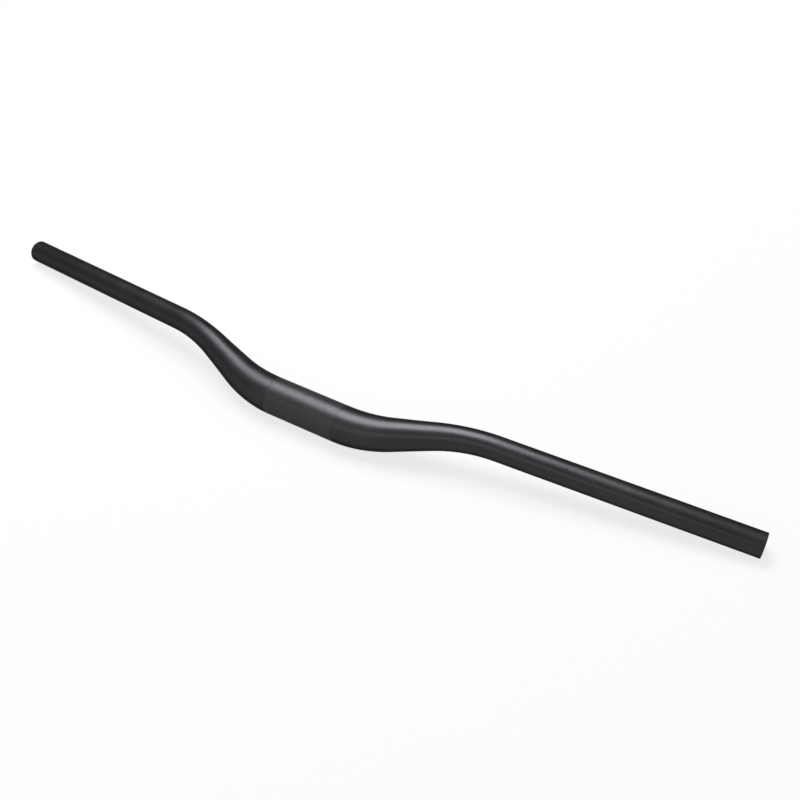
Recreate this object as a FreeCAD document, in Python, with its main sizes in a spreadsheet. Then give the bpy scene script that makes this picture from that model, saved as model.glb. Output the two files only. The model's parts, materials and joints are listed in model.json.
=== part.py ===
import FreeCAD, Part
import math
import os

import Sketcher
from FreeCAD import Placement, Rotation, Vector

# A one-piece riser handlebar: one aluminium tube, straight and wide where the stem clamps it,
# swaged down to the grip size through two bends on each side, and butted inside.
# It is modelled as ridden, with X along the clamp axis, Y towards the rider and Z up, from the
# centre of the clamp zone. The finished body is then rolled about X until it lies at rest.

DRIVING_DIMENSIONS = [
    ("bar_width", 800, "between the centres of the cut ends, along the clamp axis"),
    ("clamp_diameter", 35, "outside diameter in the stem"),
    ("clamp_width", 70, "straight zone that the stem holds"),
    ("clamp_wall", 2.4, "wall in the clamp zone"),
    ("grip_diameter", 22.2, "outside diameter under the grips and levers"),
    ("grip_wall", 2.0, "wall from the upper bend to the end"),
    ("rise", 35, "height of the grip's start above the clamp axis"),
    ("riser_angle", 20.5, "slope of the riser, in degrees"),
    ("upsweep", 5, "climb of the grip seen from the front, in degrees"),
    ("backsweep", 8, "turn of the grip to the rider seen from above, in degrees"),
    ("lower_bend_radius", 140, "centreline radius between clamp and riser"),
    ("upper_bend_radius", 190, "centreline radius between riser and grip"),
    ("rim_chamfer", 0.4, "broken edge on both sides of the cut ends"),
]

X_AXIS = Vector(1, 0, 0)
Y_AXIS = Vector(0, 1, 0)

# The taper is drawn through this many equal steps of the bent stretch.
TAPER_STEPS = 6
# A rim's centre lies this close to the centre of its cut end, in millimetres.
RIM_TOLERANCE = 0.01
# Halvings of the search for the angle at which the bar lies.
ROLL_HALVINGS = 60


def make_sheet(doc):
    sheet = doc.addObject("Spreadsheet::Sheet", "dims")
    for row, (alias, value, meaning) in enumerate(DRIVING_DIMENSIONS, start=1):
        sheet.set(f"A{row}", str(value))
        sheet.setAlias(f"A{row}", alias)
        sheet.set(f"B{row}", meaning)
    doc.recompute()
    return sheet


def bend(corner, direction_in, direction_out, radius):
    """The arc that rounds a corner of the centreline, tangent to both of its runs."""
    half_turn = direction_in.getAngle(direction_out) / 2
    tangent = radius * math.tan(half_turn)
    inward = (direction_out - direction_in).normalize()
    middle = corner + inward * (radius / math.cos(half_turn) - radius)
    return Part.Arc(corner - direction_in * tangent, middle, corner + direction_out * tangent)


class Centreline:
    """The tube's axis on the +X side, from the clamp zone to the end of the grip."""

    def __init__(self, sheet):
        slope = math.radians(sheet.riser_angle)
        riser = Vector(math.cos(slope), 0, math.sin(slope))
        back = math.tan(math.radians(sheet.backsweep))
        up = math.tan(math.radians(sheet.upsweep))
        self.grip_direction = Vector(1, back, up).normalize()

        lower_tangent = sheet.lower_bend_radius * math.tan(slope / 2)
        lower_corner = X_AXIS * (sheet.clamp_width / 2 + lower_tangent)
        half_turn = riser.getAngle(self.grip_direction) / 2
        upper_tangent = sheet.upper_bend_radius * math.tan(half_turn)
        upper_height = sheet.rise - self.grip_direction.z * upper_tangent
        upper_corner = lower_corner + riser * (upper_height / riser.z)

        lower_bend = bend(lower_corner, X_AXIS, riser, sheet.lower_bend_radius)
        upper_bend = bend(upper_corner, riser, self.grip_direction, sheet.upper_bend_radius)
        run = Part.LineSegment(lower_bend.EndPoint, upper_bend.StartPoint)
        self.bent_edges = [curve.toShape() for curve in (lower_bend, run, upper_bend)]
        self.grip_start = upper_bend.EndPoint
        reach = sheet.bar_width / 2 - self.grip_start.x
        self.grip_end = self.grip_start + self.grip_direction * (reach / self.grip_direction.x)

    def across(self, share):
        """The plane across the bent stretch at a share of its length, with Z along the tube."""
        distance = share * sum(edge.Length for edge in self.bent_edges)
        for edge in self.bent_edges:
            if distance <= edge.Length or edge is self.bent_edges[-1]:
                break
            distance -= edge.Length
        at = edge.getParameterByLength(min(distance, edge.Length))
        facing = Rotation(Y_AXIS, Vector(), edge.tangentAt(at), "ZXY")
        return Placement(edge.valueAt(at), facing)


def taper(clamp_size, grip_size, share):
    """Radius on the bent stretch, as an expression: quick to leave the clamp's size and
    slow to reach the grip's, with no slope at either end."""
    narrowed = share**2 * (5 - 6 * share + 2 * share**2)
    return f"({clamp_size} + ({grip_size} - ({clamp_size})) * {narrowed:.9f}) / 2"


def origin_plane(body, role):
    return next(plane for plane in body.Origin.OriginFeatures if plane.Role == role)


def circle_sketch(body, name, plane, offset, radius):
    sketch = body.newObject("Sketcher::SketchObject", name)
    sketch.AttachmentSupport = [(origin_plane(body, plane), "")]
    sketch.MapMode = "FlatFace"
    sketch.AttachmentOffset = offset
    sketch.addGeometry(Part.Circle(Vector(), Vector(0, 0, 1), 1))
    sketch.addConstraint(Sketcher.Constraint("Coincident", 0, 3, -1, 1))
    sketch.addConstraint(Sketcher.Constraint("Radius", 0, 1))
    sketch.renameConstraint(1, "radius")
    sketch.setExpression("Constraints.radius", radius)
    return sketch


def clamp_zone(body, kind, name, size):
    """The straight middle of the tube, or its bore."""
    sketch = circle_sketch(body, f"{name}_circle", "YZ_Plane", Placement(), f"({size}) / 2")
    feature = body.newObject(kind, name)
    feature.Profile = sketch
    feature.SideType = "Symmetric"
    feature.setExpression("Length", "dims.clamp_width")
    return feature


def bent_zone(body, kind, name, spine, path, clamp_size, grip_size):
    """The tapered sweep through both bends of one side, or its bore."""
    sections = []
    for step in range(TAPER_STEPS + 1):
        share = step / TAPER_STEPS
        radius = taper(clamp_size, grip_size, share)
        section = circle_sketch(body, f"{name}_section_{step}", "XY_Plane", path.across(share), radius)
        sections.append(section)
    feature = body.newObject(kind, name)
    feature.Profile = sections[0]
    feature.Spine = (spine, [f"Edge{n}" for n, _ in enumerate(path.bent_edges, start=1)])
    feature.Transformation = "Multisection"
    feature.Sections = [(section, [""]) for section in sections[1:]]
    return feature


def grip_zone(body, kind, name, path, size):
    """The straight end of one side, or its bore."""
    sketch = circle_sketch(body, f"{name}_circle", "XY_Plane", path.across(1), f"({size}) / 2")
    feature = body.newObject(kind, name)
    feature.Profile = sketch
    # A pocket cuts against its sketch's normal, which here points to the open end.
    feature.Reversed = kind == "PartDesign::Pocket"
    reach = f"(dims.bar_width / 2 - {path.grip_start.x:.9f})"
    feature.setExpression("Length", f"{reach} / {path.grip_direction.x:.9f}")
    return feature


def mirrored(body, name, features):
    feature = body.newObject("PartDesign::Mirrored", name)
    feature.Originals = features
    feature.MirrorPlane = (origin_plane(body, "YZ_Plane"), [""])
    body.Tip = feature
    return feature


def broken_rims(body, base, path):
    """Small chamfers on the outer and inner rims of both cut ends."""
    end = path.grip_end
    ends = [end, Vector(-end.x, end.y, end.z)]
    rims = []
    for number, edge in enumerate(base.Shape.Edges, start=1):
        centre = getattr(edge.Curve, "Center", None)
        if centre and min(centre.distanceToPoint(end) for end in ends) < RIM_TOLERANCE:
            rims.append(f"Edge{number}")
    feature = body.newObject("PartDesign::Chamfer", "rims")
    feature.Base = (base, rims)
    feature.setExpression("Size", "dims.rim_chamfer")
    return feature


def lying_roll(sheet, path):
    """Turn about X, in degrees, that sets the clamp zone and both ends on one level floor."""
    rim = path.grip_end - path.grip_direction * sheet.rim_chamfer
    steep, shallow = -90.0, 0.0
    for _ in range(ROLL_HALVINGS):
        angle = (steep + shallow) / 2
        roll = Rotation(X_AXIS, angle)
        fall = roll.multVec(path.grip_direction).z
        lowest = roll.multVec(rim).z - sheet.grip_diameter / 2 * math.sqrt(1 - fall**2)
        if lowest > -sheet.clamp_diameter / 2:
            shallow = angle
        else:
            steep = angle
    return angle


def make_handlebar(doc, sheet):
    path = Centreline(sheet)
    lying = Placement(Vector(), Rotation(X_AXIS, lying_roll(sheet, path)))

    axis = doc.addObject("Part::Feature", "bent_axis")
    axis.Shape = Part.Wire(path.bent_edges)
    axis.Placement = lying

    body = doc.addObject("PartDesign::Body", "handlebar")
    body.Label = "handlebar"
    body.Placement = lying
    spine = body.newObject("PartDesign::SubShapeBinder", "spine")
    spine.Support = [(axis, "")]
    doc.recompute()

    clamp_outside = "dims.clamp_diameter"
    grip_outside = "dims.grip_diameter"
    clamp_zone(body, "PartDesign::Pad", "clamp", clamp_outside)
    swage = bent_zone(body, "PartDesign::AdditivePipe", "swage", spine, path, clamp_outside, grip_outside)
    grip = grip_zone(body, "PartDesign::Pad", "grip", path, grip_outside)
    solid = mirrored(body, "other_side", [swage, grip])
    doc.recompute()

    clamp_inside = "dims.clamp_diameter - 2 * dims.clamp_wall"
    grip_inside = "dims.grip_diameter - 2 * dims.grip_wall"
    clamp_zone(body, "PartDesign::Pocket", "clamp_bore", clamp_inside)
    swage_bore = bent_zone(
        body, "PartDesign::SubtractivePipe", "swage_bore", spine, path, clamp_inside, grip_inside
    )
    grip_bore = grip_zone(body, "PartDesign::Pocket", "grip_bore", path, grip_inside)
    hollow = mirrored(body, "other_bores", [swage_bore, grip_bore])
    doc.recompute()

    broken_rims(body, hollow, path)
    doc.recompute()
    print("solid bar", round(solid.Shape.Volume), "mm3, hollow", round(hollow.Shape.Volume), "mm3")
    return body


def check(doc, bodies):
    failed = [item.Name for item in doc.Objects if {"Invalid", "Error"} & set(item.State)]
    if failed:
        raise RuntimeError(f"failed features: {failed}")
    for body in bodies:
        if body.Shape.isNull() or not body.Shape.isValid() or len(body.Shape.Solids) != 1:
            raise RuntimeError(f"{body.Label} is not one valid solid")


document = FreeCAD.newDocument("riser_handlebar")
dimensions = make_sheet(document)
parts = [make_handlebar(document, dimensions)]
check(document, parts)
os.makedirs("parts", exist_ok=True)
for part in parts:
    part.Shape.exportStep(f"parts/{part.Label}.step")
    print(part.Label, "volume", round(part.Shape.Volume), "mm3")
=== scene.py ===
"""Looks of a bicycle riser handlebar: one hollow aluminium tube, bead blasted and anodised satin black.

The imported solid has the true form, but its facets are too coarse for a soft highlight along the bends.
So the same tube is drawn again as a fine mesh of rings, on the same centreline and taper, and stands for
the solid. Its faces carry five finishes: the satin skin, the paler band that the stem clamps, the etched
rings, the cut ends and the drawn bore. The rest is a pale floor, soft light and the camera. Lengths are
in metres.
"""
import json
import math

import bpy
from mathutils import Matrix, Vector
from mathutils.geometry import intersect_line_line


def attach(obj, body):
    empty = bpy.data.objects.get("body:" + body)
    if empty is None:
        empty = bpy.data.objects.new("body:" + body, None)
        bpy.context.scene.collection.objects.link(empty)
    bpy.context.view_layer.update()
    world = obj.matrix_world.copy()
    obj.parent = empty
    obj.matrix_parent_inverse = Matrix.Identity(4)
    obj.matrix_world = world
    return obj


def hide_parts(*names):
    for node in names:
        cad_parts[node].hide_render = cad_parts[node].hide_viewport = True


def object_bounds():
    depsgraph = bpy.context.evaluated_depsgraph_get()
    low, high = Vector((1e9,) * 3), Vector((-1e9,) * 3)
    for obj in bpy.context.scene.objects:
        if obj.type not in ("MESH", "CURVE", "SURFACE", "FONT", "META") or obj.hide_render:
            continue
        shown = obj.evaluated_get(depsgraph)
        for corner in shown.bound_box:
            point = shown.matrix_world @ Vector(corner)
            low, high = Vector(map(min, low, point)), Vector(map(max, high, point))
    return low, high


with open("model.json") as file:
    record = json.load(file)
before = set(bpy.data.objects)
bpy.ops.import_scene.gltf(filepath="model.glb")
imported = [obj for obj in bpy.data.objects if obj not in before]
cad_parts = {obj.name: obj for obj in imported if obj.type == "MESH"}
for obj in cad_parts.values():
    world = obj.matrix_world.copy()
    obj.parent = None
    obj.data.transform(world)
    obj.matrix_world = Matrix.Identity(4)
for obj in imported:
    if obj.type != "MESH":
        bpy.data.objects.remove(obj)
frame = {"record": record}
cad_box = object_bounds()

MM = 0.001
UP = Vector((0.0, 0.0, 1.0))
CLAMP_AXIS = Vector((1.0, 0.0, 0.0))
ACROSS_THE_TUBE = (0.0, 1.0, 1.0)

# Sizes and places of the tube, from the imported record
MOUNTS = {mount["name"]: mount for mount in frame["record"]["mounts"]}
CLAMP_RADIUS = MOUNTS["stem_clamp"]["dims"]["r_mm"] * MM
CLAMP_HALF = MOUNTS["stem_clamp"]["dims"]["length_mm"] * MM / 2
GRIP_END = Vector(MOUNTS["left_grip"]["pos_m"])
GRIP_AXIS = Vector(MOUNTS["left_grip"]["axis"])
GRIP_RADIUS = MOUNTS["left_grip"]["dims"]["r_mm"] * MM
BORE_RADIUS = MOUNTS["left_end_bore"]["dims"]["r_mm"] * MM

# Sizes that the record doesn't hold
CLAMP_WALL = 2.4 * MM
RISER_ANGLE = math.radians(20.5)
UPSWEEP = math.radians(5.0)
BACKSWEEP = math.radians(8.0)
LOWER_BEND_RADIUS = 140.0 * MM
UPPER_BEND_RADIUS = 190.0 * MM
RIM_CHAMFER = 0.4 * MM
RIM_ROUNDING = 0.08 * MM
RIM_SEGMENTS = 2

# Etched rings: one round the middle of the bar, and one at an offset on each side, just past the clamp zone
RING_OFFSET = 36.5 * MM
RING_HALF_WIDTH = 0.2 * MM

# Fineness of the mesh, and its map for baking: strips one above the other, each with a margin
POINTS_AROUND = 128
STEP_IN_BENDS = 2.0 * MM
STEP_IN_GRIPS = 16.0 * MM
SHARP_ANGLE = math.radians(30.0)
STRAIGHT_PLACE = "straight_place"
BAKE_MAP = "OFBake"
MAP_ROWS = 4
MAP_MARGIN = 0.008

# Finishes: blacks with a trace of purple from the dye, shine, and relief as a multiple of the grain's
SKIN_DARK = (0.0321, 0.0307, 0.0333, 1.0)
SKIN_LIGHT = (0.0366, 0.0349, 0.0378, 1.0)
SKIN_METALLIC = 0.95
SKIN_ROUGHNESS = (0.33, 0.37)
BAND_DARK = (0.0370, 0.0353, 0.0383, 1.0)
BAND_LIGHT = (0.0414, 0.0394, 0.0427, 1.0)
BAND_METALLIC = 0.79
BAND_ROUGHNESS = (0.36, 0.40)
BAND_RELIEF = 1.6
RING_DARK = (0.0135, 0.0130, 0.0139, 1.0)
RING_LIGHT = (0.0205, 0.0199, 0.0210, 1.0)
RING_METALLIC = 0.0
RING_ROUGHNESS = (0.72, 0.85)
RING_RELIEF = 2.0
END_DARK = (0.036, 0.034, 0.037, 1.0)
END_LIGHT = (0.085, 0.082, 0.086, 1.0)
END_METALLIC = 0.95
END_ROUGHNESS = (0.42, 0.30)
BORE_DARK = (0.034, 0.033, 0.035, 1.0)
BORE_LIGHT = (0.075, 0.072, 0.076, 1.0)
BORE_METALLIC = 0.8
BORE_ROUGHNESS = (0.40, 0.52)
BORE_LINE_RELIEF = 4.0
EDGE_REFLECTION = (0.35, 0.35, 0.35, 1.0)

# Relief: grain of the blasting, lines of the drawing die in the bore, rings of the cutter on the ends
GRAIN_SIZE = 0.38 * MM
SPECK_SIZE = 1.2 * MM
MOTTLE_SIZE = 22.0 * MM
RELIEF_DEPTH = 0.032 * MM
DRAWN_LINE_WIDTH = 0.6 * MM
DRAWN_LINE_LENGTH = 60.0 * MM
TURNED_PITCH = 0.4 * MM

# Masks: the stretch of a noise over which each goes from 0 to 1, shares of masks, and detail of the noise
TONE_CUT = (0.35, 0.65)
GLOSS_CUT = (0.3, 0.7)
LINE_CUT = (0.3, 0.7)
CREST_CUT = (0.4, 0.7)
CREST_SHARE = (0.5, 1.0)
MOTTLE_SHARE = 0.5
PLAIN_DETAIL = 2.0
FINE_DETAIL = 3.0

# Camera of the photograph: where it stands, which way it looks and its lens
CAMERA_PLACE = Vector((0.49819, -0.63265, 0.68655))
CAMERA_AZIMUTH = 32.291
CAMERA_ELEVATION = 40.157
CAMERA_LENS = 53.059
CAMERA_SENSOR = 36.0
CAMERA_SHIFT = (-0.000625, 0.000625)

# Floor and surroundings
FLOOR_HALF_SIZE = 30.0
FLOOR_COLOUR = (0.57, 0.57, 0.57, 1.0)
FLOOR_WHITE_SHARE = 0.79
FLOOR_LIT_REACH = (0.42, 0.95)
WHITE = (1.0, 1.0, 1.0, 1.0)
HORIZON_LEVEL = 0.08
ZENITH_LEVEL = 0.12
HORIZON_TOP = math.radians(12.0)
ZENITH_START = math.radians(35.0)
BACKDROP_LEVEL = 0.48
BACKDROP_FADE = (math.radians(3.0), math.radians(18.0))

# Soft boxes, by their direction from the bar, and the watts that give a square metre of one a radiance of 1
LIGHT_TARGET = Vector((0.0, 0.03, 0.0))
LIGHT_DISTANCE = 2.4
POWER_OF_RADIANCE = 4.0
SOFT_BOXES = {
    "key_soft_box": dict(azimuth=236.0, elevation=69.0, roll=-56.0, size=(1.40, 1.74), radiance=9.6),
    "front_fill": dict(azimuth=354.0, elevation=29.0, roll=14.0, size=(2.20, 0.90), radiance=1.24),
    "wide_soft_box": dict(azimuth=281.0, elevation=63.0, roll=-96.0, size=(2.40, 5.00), radiance=0.31),
    "rear_soft_box": dict(azimuth=128.0, elevation=36.0, roll=0.0, size=(1.30, 1.00), radiance=2.1),
}


class Stretch:
    """A straight or evenly bent stretch of the tube's axis."""

    def __init__(self, start, heading, length, inward=None, radius=None):
        self.start = start
        self.heading = heading
        self.length = length
        self.inward = inward
        self.radius = radius

    def at(self, distance):
        """The point at a distance along the stretch, and the way that the axis runs there."""
        if self.radius is None:
            return self.start + self.heading * distance, self.heading
        turn = distance / self.radius
        forward, aside = math.sin(turn), 1 - math.cos(turn)
        point = self.start + (self.heading * forward + self.inward * aside) * self.radius
        return point, self.heading * math.cos(turn) + self.inward * math.sin(turn)


def bend(corner, heading, new_heading, radius):
    """The stretch that rounds a corner of the axis, and the length that it takes off each of its runs."""
    turn = heading.angle(new_heading)
    tangent = radius * math.tan(turn / 2)
    inward = (new_heading - heading * math.cos(turn)) / math.sin(turn)
    return Stretch(corner - heading * tangent, heading, radius * turn, inward, radius), tangent


class Centreline:
    """The tube's axis on the left side, +X, by distance from the middle of the bar."""

    def __init__(self):
        # The bar lies rolled about its clamp zone, and the turn of its grips tells by how much
        riding_turn = math.atan2(math.tan(UPSWEEP), math.tan(BACKSWEEP))
        lying_turn = math.atan2(GRIP_AXIS.z, GRIP_AXIS.y)
        rise = Matrix.Rotation(lying_turn - riding_turn, 3, "X") @ UP
        riser = CLAMP_AXIS * math.cos(RISER_ANGLE) + rise * math.sin(RISER_ANGLE)
        lower_corner = CLAMP_AXIS * (CLAMP_HALF + LOWER_BEND_RADIUS * math.tan(RISER_ANGLE / 2))
        riser_line = (lower_corner, lower_corner + riser)
        grip_line = (GRIP_END, GRIP_END - GRIP_AXIS)
        upper_corner, _ = intersect_line_line(*riser_line, *grip_line)
        lower, lower_tangent = bend(lower_corner, CLAMP_AXIS, riser, LOWER_BEND_RADIUS)
        upper, upper_tangent = bend(upper_corner, riser, GRIP_AXIS, UPPER_BEND_RADIUS)
        riser_length = (upper_corner - lower_corner).length - lower_tangent - upper_tangent
        grip_length = (GRIP_END - upper_corner).length - upper_tangent
        self.stretches = [
            Stretch(Vector(), CLAMP_AXIS, CLAMP_HALF),
            lower,
            Stretch(lower_corner + riser * lower_tangent, riser, riser_length),
            upper,
            Stretch(upper_corner + GRIP_AXIS * upper_tangent, GRIP_AXIS, grip_length + RIM_CHAMFER),
        ]
        self.grip_start = sum(stretch.length for stretch in self.stretches[:-1])
        self.wall_end = self.grip_start + grip_length

    def at(self, distance):
        """The point at a distance from the middle, and the way that the axis runs there."""
        for stretch in self.stretches:
            if distance <= stretch.length or stretch is self.stretches[-1]:
                break
            distance -= stretch.length
        return stretch.at(distance)

    def radius(self, distance, clamp_radius, grip_radius):
        """The taper: quick to leave the clamp's size and slow to reach the grip's."""
        share = (distance - CLAMP_HALF) / (self.grip_start - CLAMP_HALF)
        share = min(max(share, 0.0), 1.0)
        return clamp_radius + (grip_radius - clamp_radius) * share**2 * (5 - 6 * share + 2 * share**2)

    def stations(self):
        """Distances from the middle at which the mesh has a ring of vertices, up to the end of the wall."""
        edges = [RING_HALF_WIDTH, RING_OFFSET - RING_HALF_WIDTH, RING_OFFSET + RING_HALF_WIDTH]
        edges += spaced(CLAMP_HALF, self.grip_start, STEP_IN_BENDS)
        edges += spaced(self.grip_start, self.wall_end, STEP_IN_GRIPS)
        return sorted(set(edges))

    def frames(self, distances):
        """Point and two cross directions at each distance, with no twist from one to the next."""
        across = Vector((0.0, 1.0, 0.0))
        frames = {}
        for distance in distances:
            point, heading = self.at(distance)
            across = (across - heading * across.dot(heading)).normalized()
            frames[distance] = (point, across, heading.cross(across))
        return frames


def spaced(start, end, step):
    """Evenly spaced numbers from start to end, at most a step apart."""
    count = math.ceil((end - start) / step)
    return [start + (end - start) * n / count for n in range(count + 1)]


def outside_finish(place):
    """Which finish the outside has at a place along the bar."""
    from_ring = min(abs(place), abs(abs(place) - RING_OFFSET))
    if from_ring < RING_HALF_WIDTH:
        return "etched_ring"
    return "clamp_band" if abs(place) < RING_OFFSET else "satin_skin"


def tube_profile(axis):
    """The tube's section as one closed loop of (place along the bar, radius, finish up to the next)."""
    stations = axis.stations()
    places = [-distance for distance in reversed(stations)] + stations
    outer = [axis.radius(abs(place), CLAMP_RADIUS, GRIP_RADIUS) for place in places]
    inner = [axis.radius(abs(place), CLAMP_RADIUS - CLAMP_WALL, BORE_RADIUS) for place in places]
    finishes = [outside_finish((here + after) / 2) for here, after in zip(places, places[1:])] + ["cut_end"]
    face = axis.wall_end + RIM_CHAMFER
    rims = (GRIP_RADIUS - RIM_CHAMFER, BORE_RADIUS + RIM_CHAMFER)
    loop = list(zip(places, outer, finishes))
    loop += [(face, radius, "cut_end") for radius in rims]
    loop += [(place, radius, "drawn_bore") for place, radius in zip(reversed(places), reversed(inner))]
    loop[-1] = (loop[-1][0], loop[-1][1], "cut_end")
    loop += [(-face, radius, "cut_end") for radius in reversed(rims)]
    return loop


def ring_points(frames, place, radius):
    """A ring of the mesh, as bent and as it lay on the straight tube before bending."""
    point, across, up = frames[abs(place)]
    bent, straight = [], []
    for step in range(POINTS_AROUND):
        angle = math.tau * step / POINTS_AROUND
        aside, above = radius * math.cos(angle), radius * math.sin(angle)
        spot = point + across * aside + up * above
        bent.append((math.copysign(spot.x, place), spot.y, spot.z))
        straight.append((place, aside, above))
    return bent, straight


def map_places(loop):
    """Texture places of all corners: the loop is cut into strips of one length, laid one above the other."""
    lengths = [math.dist(here[:2], after[:2]) for here, after in zip(loop, loop[1:] + loop[:1])]
    strip = sum(lengths) / MAP_ROWS
    places, start = [], 0.0
    for length in lengths:
        row = int((start + length / 2) / strip)
        left, right = start / strip - row, (start + length) / strip - row
        start += length
        for step in range(POINTS_AROUND):
            low, high = step / POINTS_AROUND, (step + 1) / POINTS_AROUND
            for along, around in ((left, low), (left, high), (right, high), (right, low)):
                places += [inset(along), (row + inset(around)) / MAP_ROWS]
    return places


def inset(share):
    """A share of a strip's length or height, kept off the strip's margins."""
    return MAP_MARGIN + share * (1 - 2 * MAP_MARGIN)


def tube_mesh():
    """The whole tube as a closed grid of quads, with a finish on each of its strips."""
    axis = Centreline()
    loop = tube_profile(axis)
    frames = axis.frames(sorted({abs(place) for place, _, _ in loop}))
    finishes = list(FINISHES)
    points, straight, faces, slots = [], [], [], []
    for number, (place, radius, finish) in enumerate(loop):
        bent_ring, straight_ring = ring_points(frames, place, radius)
        points += bent_ring
        straight += straight_ring
        first, following = number * POINTS_AROUND, (number + 1) % len(loop) * POINTS_AROUND
        for step in range(POINTS_AROUND):
            after = (step + 1) % POINTS_AROUND
            faces.append((first + step, first + after, following + after, following + step))
            slots.append(finishes.index(finish))
    mesh = bpy.data.meshes.new("handlebar_tube")
    mesh.from_pydata(points, [], faces)
    mesh.polygons.foreach_set("material_index", slots)
    mesh.shade_smooth()
    mesh.set_sharp_from_angle(angle=SHARP_ANGLE)
    mesh.uv_layers.new(name=BAKE_MAP).data.foreach_set("uv", map_places(loop))
    straight_places = mesh.attributes.new(STRAIGHT_PLACE, "FLOAT_VECTOR", "POINT")
    straight_places.data.foreach_set("vector", [number for spot in straight for number in spot])
    return mesh


class Nodes:
    """A shader tree, with short ways to add nodes to it."""

    def __init__(self, tree):
        self.tree = tree
        tree.nodes.clear()

    def add(self, kind, sockets=None, **settings):
        """A new node. Each socket, by name or number, gets a plain value or a link from an output."""
        node = self.tree.nodes.new(kind)
        for name, value in settings.items():
            setattr(node, name, value)
        for name, value in (sockets or {}).items():
            if isinstance(value, bpy.types.NodeSocket):
                self.tree.links.new(value, node.inputs[name])
            else:
                node.inputs[name].default_value = value
        return node

    def math(self, operation, first, second):
        """A number worked out from two others."""
        return self.add("ShaderNodeMath", {0: first, 1: second}, operation=operation).outputs[0]

    def times(self, place, factors):
        """A place with each of its coordinates multiplied."""
        sockets = {0: place, 1: factors}
        return self.add("ShaderNodeVectorMath", sockets, operation="MULTIPLY").outputs["Vector"]

    def length(self, place):
        """How far a place is from the origin."""
        return self.add("ShaderNodeVectorMath", {0: place}, operation="LENGTH").outputs["Value"]

    def step(self, value, start, end, low=0.0, high=1.0):
        """A number that goes smoothly from low, where value is start, to high, where it is end."""
        sockets = {"Value": value, "From Min": start, "From Max": end, "To Min": low, "To Max": high}
        return self.add("ShaderNodeMapRange", sockets, interpolation_type="SMOOTHSTEP").outputs["Result"]

    def spread(self, mask, limits):
        """A number that goes smoothly from the first limit to the second as a mask goes from 0 to 1."""
        return self.step(mask, 0.0, 1.0, *limits)

    def noise(self, place, scale, detail=PLAIN_DETAIL):
        """A cloudy mask, finer with a greater scale."""
        sockets = {"Vector": place, "Scale": scale, "Detail": detail}
        return self.add("ShaderNodeTexNoise", sockets).outputs["Fac"]

    def blend(self, share, first, second):
        """Two colours blended by a mask, on the colour sockets of the mix node."""
        return self.add("ShaderNodeMix", {0: share, 6: first, 7: second}, data_type="RGBA").outputs[2]


def blasted_grain():
    """Node group: tone, gloss and height of bead blasted metal at a place on the straight tube."""
    tree = bpy.data.node_groups.new("blasted_grain", "ShaderNodeTree")
    tree.interface.new_socket("Place", in_out="INPUT", socket_type="NodeSocketVector")
    for name in ("Tone", "Gloss", "Height"):
        tree.interface.new_socket(name, in_out="OUTPUT", socket_type="NodeSocketFloat")
    nodes = Nodes(tree)
    place = nodes.add("NodeGroupInput").outputs["Place"]
    mottle = nodes.noise(place, 1 / MOTTLE_SIZE, FINE_DETAIL)
    speck = nodes.noise(place, 1 / SPECK_SIZE)
    grain = nodes.noise(place, 1 / GRAIN_SIZE, FINE_DETAIL)
    mottle_part = nodes.math("MULTIPLY", mottle, MOTTLE_SHARE)
    speck_part = nodes.math("MULTIPLY", speck, 1 - MOTTLE_SHARE)
    nodes.add("NodeGroupOutput", {
        "Tone": nodes.step(nodes.math("ADD", mottle_part, speck_part), *TONE_CUT),
        "Gloss": nodes.step(mottle, *GLOSS_CUT),
        "Height": grain,
    })


def new_material(name):
    """A material, and its shader tree with no nodes yet."""
    material = bpy.data.materials.new(name)
    material.use_nodes = True
    return material, Nodes(material.node_tree)


def start_finish(name):
    """A new material and its nodes, the place on the straight tube, and the blasted grain there."""
    material, nodes = new_material(name)
    place = nodes.add("ShaderNodeAttribute", attribute_name=STRAIGHT_PLACE).outputs["Vector"]
    grain = nodes.add("ShaderNodeGroup", {"Place": place}, node_tree=bpy.data.node_groups["blasted_grain"])
    return material, nodes, place, grain.outputs


def end_finish(nodes, colour, metallic, roughness, height):
    """The shader of a finish: what varies is linked, and the rest is set on the shader itself."""
    bump = nodes.add("ShaderNodeBump", {"Strength": 1.0, "Distance": RELIEF_DEPTH, "Height": height})
    shader = nodes.add("ShaderNodeBsdfPrincipled", {
        "Base Color": colour,
        "Metallic": metallic,
        "Roughness": roughness,
        "Specular Tint": EDGE_REFLECTION,
        "Normal": bump.outputs["Normal"],
    })
    nodes.add("ShaderNodeOutputMaterial", {"Surface": shader.outputs[0]})


def satin_skin(name):
    """The blasted and dyed outside."""
    material, nodes, _, grain = start_finish(name)
    colour = nodes.blend(grain["Tone"], SKIN_DARK, SKIN_LIGHT)
    roughness = nodes.spread(grain["Gloss"], SKIN_ROUGHNESS)
    end_finish(nodes, colour, SKIN_METALLIC, roughness, grain["Height"])
    return material


def clamp_band(name):
    """Blasted coarser than the skin, so that the stem holds: a little paler and less shiny."""
    material, nodes, _, grain = start_finish(name)
    colour = nodes.blend(grain["Tone"], BAND_DARK, BAND_LIGHT)
    roughness = nodes.spread(grain["Gloss"], BAND_ROUGHNESS)
    height = nodes.math("MULTIPLY", grain["Height"], BAND_RELIEF)
    end_finish(nodes, colour, BAND_METALLIC, roughness, height)
    return material


def etched_ring(name):
    """Matt, and darker than the skin."""
    material, nodes, _, grain = start_finish(name)
    colour = nodes.blend(grain["Tone"], RING_DARK, RING_LIGHT)
    roughness = nodes.spread(grain["Tone"], RING_ROUGHNESS)
    height = nodes.math("MULTIPLY", grain["Height"], RING_RELIEF)
    end_finish(nodes, colour, RING_METALLIC, roughness, height)
    return material


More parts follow.
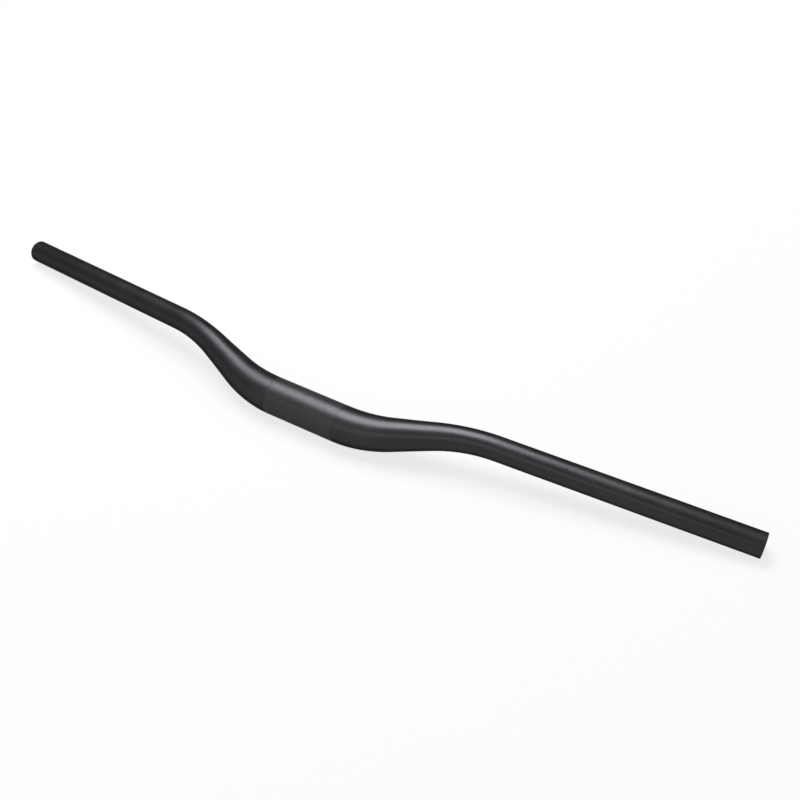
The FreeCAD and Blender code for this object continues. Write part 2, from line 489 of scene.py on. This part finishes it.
def cut_end(name):
    """Turned: the cutter left fine rings, with the dye thin on their crests."""
    material, nodes, place, grain = start_finish(name)
    off_axis = nodes.length(nodes.times(place, ACROSS_THE_TUBE))
    sockets = {"W": off_axis, "Scale": 1 / TURNED_PITCH, "Detail": PLAIN_DETAIL}
    turned = nodes.add("ShaderNodeTexNoise", sockets, noise_dimensions="1D").outputs["Fac"]
    crest = nodes.math("MULTIPLY", nodes.step(turned, *CREST_CUT), nodes.spread(grain["Gloss"], CREST_SHARE))
    colour = nodes.blend(crest, END_DARK, END_LIGHT)
    roughness = nodes.spread(crest, END_ROUGHNESS)
    end_finish(nodes, colour, END_METALLIC, roughness, turned)
    return material


def drawn_bore(name):
    """Not blasted: the lines of the drawing die run along it under the dye."""
    material, nodes, place, grain = start_finish(name)
    scales = (1 / DRAWN_LINE_LENGTH, 1 / DRAWN_LINE_WIDTH, 1 / DRAWN_LINE_WIDTH)
    lines = nodes.noise(nodes.times(place, scales), 1.0, FINE_DETAIL)
    colour = nodes.blend(nodes.step(lines, *LINE_CUT), BORE_DARK, BORE_LIGHT)
    roughness = nodes.step(lines, *LINE_CUT, *BORE_ROUGHNESS)
    height = nodes.math("ADD", nodes.math("MULTIPLY", lines, BORE_LINE_RELIEF), grain["Height"])
    end_finish(nodes, colour, BORE_METALLIC, roughness, height)
    return material


FINISHES = {
    "satin_skin": satin_skin,
    "clamp_band": clamp_band,
    "etched_ring": etched_ring,
    "cut_end": cut_end,
    "drawn_bore": drawn_bore,
}


def new_object(name, data):
    """An object in the scene."""
    thing = bpy.data.objects.new(name, data)
    bpy.context.scene.collection.objects.link(thing)
    return thing


def make_tube():
    """The dressed tube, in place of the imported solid."""
    blasted_grain()
    mesh = tube_mesh()
    for name, finish in FINISHES.items():
        mesh.materials.append(finish(name))
    tube = new_object("handlebar_tube", mesh)
    rounding = tube.modifiers.new("rounded_rims", "BEVEL")
    rounding.width = RIM_ROUNDING
    rounding.segments = RIM_SEGMENTS
    rounding.limit_method = "ANGLE"
    rounding.angle_limit = SHARP_ANGLE
    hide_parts("handlebar")
    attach(tube, "root")


def seen_white(nodes):
    """1 for what the eye, a reflection or a glass sees, and 0 for the light that falls on things."""
    ray = nodes.add("ShaderNodeLightPath").outputs
    seen = nodes.math("MAXIMUM", ray["Is Camera Ray"], ray["Is Glossy Ray"])
    return nodes.math("MAXIMUM", seen, ray["Is Transmission Ray"])


def floor_finish():
    """Pale and matt, and mostly plain white to the eye and to reflections, so that only the shadow shows."""
    material, nodes = new_material("pale_floor")
    pale = nodes.add("ShaderNodeBsdfDiffuse", {"Color": FLOOR_COLOUR})
    white = nodes.add("ShaderNodeEmission", {"Color": WHITE, "Strength": 1.0})
    distance = nodes.length(nodes.add("ShaderNodeNewGeometry").outputs["Position"])
    share = nodes.step(distance, *FLOOR_LIT_REACH, FLOOR_WHITE_SHARE, 1.0)
    share = nodes.math("MULTIPLY", seen_white(nodes), share)
    mixed = nodes.add("ShaderNodeMixShader", {0: share, 1: pale.outputs[0], 2: white.outputs[0]})
    nodes.add("ShaderNodeOutputMaterial", {"Surface": mixed.outputs[0]})
    return material


def lay_floor():
    """A floor under the bar's lowest point."""
    half, height = FLOOR_HALF_SIZE, cad_box[0].z
    corners = [(-half, -half, height), (half, -half, height), (half, half, height), (-half, half, height)]
    mesh = bpy.data.meshes.new("pale_floor")
    mesh.from_pydata(corners, [], [(0, 1, 2, 3)])
    mesh.materials.append(floor_finish())
    floor = new_object("pale_floor", mesh)


def direction(azimuth, elevation):
    """Unit vector towards a place round the bar, in degrees: azimuth 0 is the front, -Y, and 90 is +X."""
    turn, lift = math.radians(azimuth), math.radians(elevation)
    return Vector((math.sin(turn) * math.cos(lift), -math.cos(turn) * math.cos(lift), math.sin(lift)))


def hang_soft_box(name, azimuth, elevation, roll, size, radiance):
    """A rectangular soft light that faces the bar."""
    data = bpy.data.lights.new(name, "AREA")
    data.shape = "RECTANGLE"
    data.size, data.size_y = size
    data.energy = radiance * size[0] * size[1] * POWER_OF_RADIANCE
    back = direction(azimuth, elevation)
    side = UP.cross(back).normalized()
    axes = Matrix((side, back.cross(side), back)).transposed()
    spin = Matrix.Rotation(math.radians(roll), 3, "Z")
    light = new_object(name, data)
    light.matrix_world = Matrix.Translation(LIGHT_TARGET + back * LIGHT_DISTANCE) @ (axes @ spin).to_4x4()
    light.visible_camera = False


def surround():
    """A dim room, with a backdrop for the eye and reflections: white round the horizon, and greyer above."""
    world = bpy.data.worlds.new("pale_room")
    world.use_nodes = True
    nodes = Nodes(world.node_tree)
    toward = nodes.add("ShaderNodeTexCoord").outputs["Generated"]
    height = nodes.add("ShaderNodeSeparateXYZ", {0: toward}).outputs["Z"]
    level = nodes.step(height, math.sin(HORIZON_TOP), math.sin(ZENITH_START), HORIZON_LEVEL, ZENITH_LEVEL)
    fade_start, fade_end = BACKDROP_FADE
    backdrop = nodes.step(height, math.sin(fade_start), math.sin(fade_end), 1.0, BACKDROP_LEVEL)
    level = nodes.math("MAXIMUM", level, nodes.math("MULTIPLY", seen_white(nodes), backdrop))
    background = nodes.add("ShaderNodeBackground", {"Color": WHITE, "Strength": level})
    nodes.add("ShaderNodeOutputWorld", {"Surface": background.outputs[0]})
    bpy.context.scene.world = world


def place_camera():
    """The camera where the photograph was taken from."""
    data = bpy.data.cameras.new("camera")
    data.lens = CAMERA_LENS
    data.sensor_width = CAMERA_SENSOR
    data.shift_x, data.shift_y = CAMERA_SHIFT
    camera = new_object("camera", data)
    camera.location = CAMERA_PLACE
    looking = -direction(CAMERA_AZIMUTH, CAMERA_ELEVATION)
    camera.rotation_euler = looking.to_track_quat("-Z", "Y").to_euler()
    bpy.context.scene.camera = camera


make_tube()
lay_floor()
surround()
for box_name, box in SOFT_BOXES.items():
    hang_soft_box(box_name, **box)
place_camera()
bpy.context.scene.view_settings.view_transform = "Standard"
